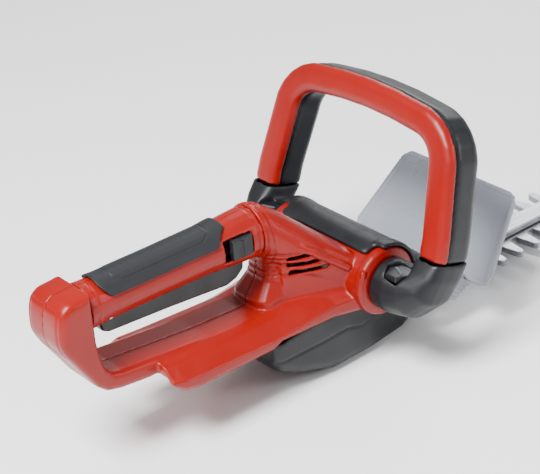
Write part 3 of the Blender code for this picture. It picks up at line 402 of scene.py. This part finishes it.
def overmould_relief(points, normals):
    """The soft panel, slightly raised, with a groove as its outline."""
    angle = np.arctan2(points[:, 1], points[:, 2] - GRIP_AXIS_Z)
    across = np.abs(angle) * OVERMOULD_RADIUS
    middle = 0.5 * (PANEL_ENDS[0] + PANEL_ENDS[1])
    half = 0.5 * (PANEL_ENDS[1] - PANEL_ENDS[0])
    along = np.abs(points[:, 0] - middle)
    corner = (across - PANEL_HALF_ARC) + 0.7 * np.maximum(along - (half - PANEL_CORNER), 0.0)
    edge = np.maximum(corner, along - half)
    top = normals[:, 2] * (points[:, 2] - GRIP_AXIS_Z) + normals[:, 1] * points[:, 1]
    return (-ridge(edge, PANEL_GROOVE_SIZE) + PANEL_LIFT * (edge < 0.0)) * (top > 0.0)


def grip_relief(points, normals):
    """A fine ring near each end of the grip."""
    from_axis = np.hypot(points[:, 1], points[:, 2] - GRIP_AXIS_Z)
    outside = step(from_axis, 0.0160, 0.0168)
    lift = np.zeros(len(points))
    for ring_x in GRIP_RINGS:
        lift = lift - ridge(points[:, 0] - ring_x, GRIP_RING_SIZE) * outside
    return lift


def shield_relief(points, normals):
    """A thicker rim round the guard."""
    height = (points - SHIELD_FOOT) @ SHIELD_UP
    half = SHIELD_HALF_WIDTH - SHIELD_NARROWING * np.clip(height / SHIELD_HEIGHT, 0.0, 1.0)
    from_side = half - np.abs(points[:, 1])
    from_rim = np.minimum(np.minimum(from_side, SHIELD_HEIGHT - height), height)
    face = np.abs(normals @ SHIELD_FACE)
    return RIM_LIFT * (1.0 - step(from_rim, 0.0030, 0.0042)) * (face > 0.8)


def bracket_relief(points, normals):
    """Slanting grooves, with ribs left between them, on the bracket's two wings."""
    across = 0.55 * points[:, 0] + 0.83 * points[:, 2]
    place = np.mod(across, RIB_PITCH) - 0.5 * RIB_PITCH
    return -ridge(place, RIB_GROOVE_SIZE) * step(np.abs(points[:, 1]), 0.0435, 0.0445)


def free(points):
    return np.zeros(len(points))


def seam(points):
    """Holds the rims along the middle plane, so that two halves keep a fine line between them."""
    return np.clip(1.0 - (np.abs(points[:, 1]) - SEAM_HELD) / SEAM_FADE, 0, 1)


def heel_only(points):
    """Holds everything but the heel, which is rounder than the rest."""
    return np.maximum(seam(points), step(points[:, 0], -0.2360, -0.2300))


def closed_seam(mesh):
    """Brings the two halves' rims together, so that only a hairline shows between them."""
    points = points_of(mesh)
    near = np.abs(points[:, 1]) < SEAM_REACH
    points[near, 1] = np.sign(points[near, 1]) * SEAM_GAP
    mesh.vertices.foreach_set("co", points.reshape(-1))
    mesh.update()


def softened(node, voxel, passes, held=free):
    """A copy of a frame node with fine even faces and rounded edges, standing in for it."""
    mesh = nodes[node].data.copy()
    welded(mesh)
    obj = fresh(node + "_skin", mesh)
    remesh = obj.modifiers.new("even", "REMESH")
    remesh.mode = "VOXEL"
    remesh.voxel_size = voxel
    evaluated(obj)
    relaxed(obj.data, passes, held)
    if node in EXTRA:
        extra_passes, extra_held = EXTRA[node]
        relaxed(obj.data, extra_passes, extra_held, back=0.0)
    if node in RELIEF:
        shaped(obj.data, RELIEF[node])
    if held is seam:
        closed_seam(obj.data)
    obj.data.polygons.foreach_set("use_smooth", [True] * len(obj.data.polygons))
    paint(obj, slot_of[node])
    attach(obj, body_of[node])
    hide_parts(node)
    return obj


body_of = {}
for body, held_nodes in record["behaviour"]["bodies"].items():
    for node in held_nodes:
        body_of[node] = body

RELIEF = {
    "body_left": body_relief,
    "body_right": body_relief,
    "cover_gearbox": belly_relief,
    "grip_overmould": overmould_relief,
    "grip_left": grip_relief,
    "grip_right": grip_relief,
    "shield": shield_relief,
    "shield_bracket": bracket_relief,
}
# A second smoothing, towards the middle only: passes, and what it holds
EXTRA = {
    "body_left": (46, heel_only),
    "body_right": (46, heel_only),
    "bail_handle": (16, free),
    "switch_bar": (16, free),
    "elbow_left": (12, free),
    "elbow_right": (12, free),
    "cover_front": (5, free),
    "cover_gearbox": (5, free),
    "grip_overmould": (3, free),
    "trigger": (4, free),
}
# Frame nodes that a smoothed copy replaces: voxel size, passes, and what smoothing holds
SOFT = {
    "body_left": (0.0009, 7, seam),
    "body_right": (0.0009, 7, seam),
    "cover_front": (0.0011, 6, free),
    "cover_gearbox": (0.0011, 6, free),
    "bail_handle": (0.0010, 3, free),
    "switch_bar": (0.0010, 3, free),
    "elbow_left": (0.0007, 8, free),
    "elbow_right": (0.0007, 8, free),
    "shield": (0.0007, 7, free),
    "shield_bracket": (0.0006, 4, free),
    "grip_left": (0.0008, 7, seam),
    "grip_right": (0.0008, 7, seam),
    "grip_overmould": (0.0006, 6, free),
    "trigger": (0.0006, 4, free),
    "grip_lock": (0.0005, 3, free),
    "release_button_left": (0.0005, 3, free),
    "release_button_right": (0.0005, 3, free),
    "tip_guard": (0.0008, 4, free),
    "rear_spigot": (0.0009, 3, free),
    "front_spigot": (0.0009, 3, free),
}
for node, how in SOFT.items():
    softened(node, *how)

for node, obj in nodes.items():
    if node in SOFT:
        continue
    paint(obj, slot_of[node])
    edge = obj.modifiers.new("edge", "BEVEL")
    edge.width = EDGE_WIDTH
    edge.segments = 2
    edge.limit_method = "ANGLE"
    edge.angle_limit = math.radians(EDGE_ANGLE)
    edge.use_clamp_overlap = True


def button_rib(side, name):
    """The raised bar across a release button's top, with a narrower crest, in a lighter grey that is a
    painted highlight.

    levels holds each ring's height, half width and half length.
    """
    low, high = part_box(name)
    middle = 0.5 * (Vector(low) + Vector(high))
    turn = Matrix.Rotation(math.radians(BUTTON_RIB_TURN * side), 3, "Z")
    levels = [
        (high[2] - 0.0003, 0.0011, 0.0062),
        (high[2] + 0.0005, 0.0010, 0.0060),
        (high[2] + 0.0009, 0.0006, 0.0055),
    ]
    bm = bmesh.new()
    rings = []
    for z, half_wide, half_long in levels:
        corners = [
            (half_wide, half_long),
            (-half_wide, half_long),
            (-half_wide, -half_long),
            (half_wide, -half_long),
        ]
        ring = []
        for x, y in corners:
            place = turn @ Vector((x, y, 0.0))
            ring.append(bm.verts.new((middle.x + place.x, middle.y + place.y, z)))
        rings.append(ring)
    for lower, upper in zip(rings, rings[1:]):
        for i in range(4):
            j = (i + 1) % 4
            bm.faces.new((lower[i], lower[j], upper[j], upper[i]))
    bm.faces.new(rings[-1])
    bm.faces.new(rings[0][::-1])
    bmesh.ops.recalc_face_normals(bm, faces=bm.faces)
    mesh = bpy.data.meshes.new(name + "_rib")
    bm.to_mesh(mesh)
    bm.free()
    obj = fresh(name + "_rib", mesh)
    edge = obj.modifiers.new("edge", "BEVEL")
    edge.width = 0.00025
    edge.segments = 2
    # Painted highlight: the rib is a lighter grey than the button's own dark plastic
    obj.data.materials.append(LOOKS["button_rib_highlight"])
    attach(obj, body_of[name])


# Known fault: these are the CAD nodes themselves, where copies that replace them should be squashed.
for node, joint, keep in SPRINGS:
    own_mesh(nodes[node])

button_rib(1, "release_button_left")
button_rib(-1, "release_button_right")


# ---------------------------------------------------------------- floor, light and camera

def floor():
    bm = bmesh.new()
    along = [FLOOR_SIDE * (i / FLOOR_CELLS - 0.5) for i in range(FLOOR_CELLS + 1)]
    grid = [[bm.verts.new((x, y, FLOOR_Z)) for y in along] for x in along]
    for i in range(FLOOR_CELLS):
        for j in range(FLOOR_CELLS):
            bm.faces.new((grid[i][j], grid[i + 1][j], grid[i + 1][j + 1], grid[i][j + 1]))
    mesh = bpy.data.meshes.new("floor")
    bm.to_mesh(mesh)
    bm.free()
    obj = fresh("floor", mesh)
    look = finish("floor_look", (0.93, 0.93, 0.93), (0.96, 0.96, 0.96), (0.7, 0.8), 60, 0.0001, cloud=2.0)
    obj.data.materials.append(look)


def area(name, place, target, size, power):
    lamp = bpy.data.lights.new(name, "AREA")
    lamp.shape = "RECTANGLE"
    lamp.size, lamp.size_y = size
    lamp.energy = power
    obj = bpy.data.objects.new(name, lamp)
    bpy.context.scene.collection.objects.link(obj)
    place = Vector(place)
    turn = (Vector(target) - place).to_track_quat("-Z", "Y").to_matrix().to_4x4()
    obj.matrix_world = Matrix.Translation(place) @ turn


def camera():
    azimuth, elevation, roll = (math.radians(value) for value in CAMERA_TURN)
    right = Vector((math.cos(azimuth), math.sin(azimuth), 0))
    forward = Vector((
        -math.sin(azimuth) * math.cos(elevation),
        math.cos(azimuth) * math.cos(elevation),
        -math.sin(elevation),
    ))
    up = right.cross(forward)
    across = right * math.cos(roll) + up * math.sin(roll)
    over = up * math.cos(roll) - right * math.sin(roll)
    lens = bpy.data.cameras.new("camera")
    lens.lens = LENS_LENGTH
    lens.sensor_width = SENSOR_WIDTH
    lens.shift_x, lens.shift_y = LENS_SHIFT
    lens.clip_start = NEAREST_SEEN
    obj = bpy.data.objects.new("camera", lens)
    bpy.context.scene.collection.objects.link(obj)
    matrix = Matrix((across, over, -forward)).transposed().to_4x4()
    matrix.translation = Vector(CAMERA_PLACE)
    obj.matrix_world = matrix
    bpy.context.scene.camera = obj


def surroundings():
    world = bpy.data.worlds.new("studio")
    world.use_nodes = True
    world.node_tree.nodes["Background"].inputs["Color"].default_value = (1.0, 1.0, 1.0, 1)
    world.node_tree.nodes["Background"].inputs["Strength"].default_value = WORLD_STRENGTH
    bpy.context.scene.world = world


floor()
surroundings()
for name, how in LIGHTS.items():
    area(name, *how)
camera()
